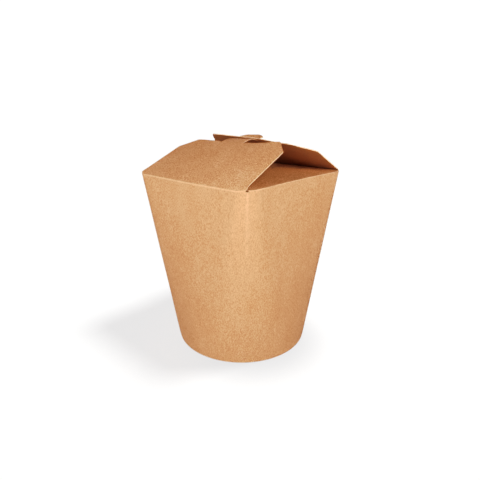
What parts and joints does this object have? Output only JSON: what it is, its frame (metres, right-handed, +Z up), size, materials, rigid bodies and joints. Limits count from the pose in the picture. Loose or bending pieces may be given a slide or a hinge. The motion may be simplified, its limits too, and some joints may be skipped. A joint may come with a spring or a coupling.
{
  "type": "noodle takeaway box",
  "caption": "Shut kraft board takeaway carton with a round foot, a square mouth, tucked side flaps and a tongue-and-slit closure for noodles or other food.",
  "frame": {"origin": "centre of the foot's rim, on the table", "axes": "+Z up through the mouth; the flap with the tongue folds in from the -Y crease, the slit flap from the +Y crease, and the tucked flaps from the +X and -X creases"},
  "size_m": [0.092, 0.094, 0.1335],
  "materials": {
    "kraft_board": "uncoated matte kraft board with fine mottled fibres",
    "kraft_base": "uncoated matte kraft board"
  },
  "bodies": {
    "root": {"carton": "kraft_board", "base_disc": "kraft_base"}
  },
  "joints": []
}
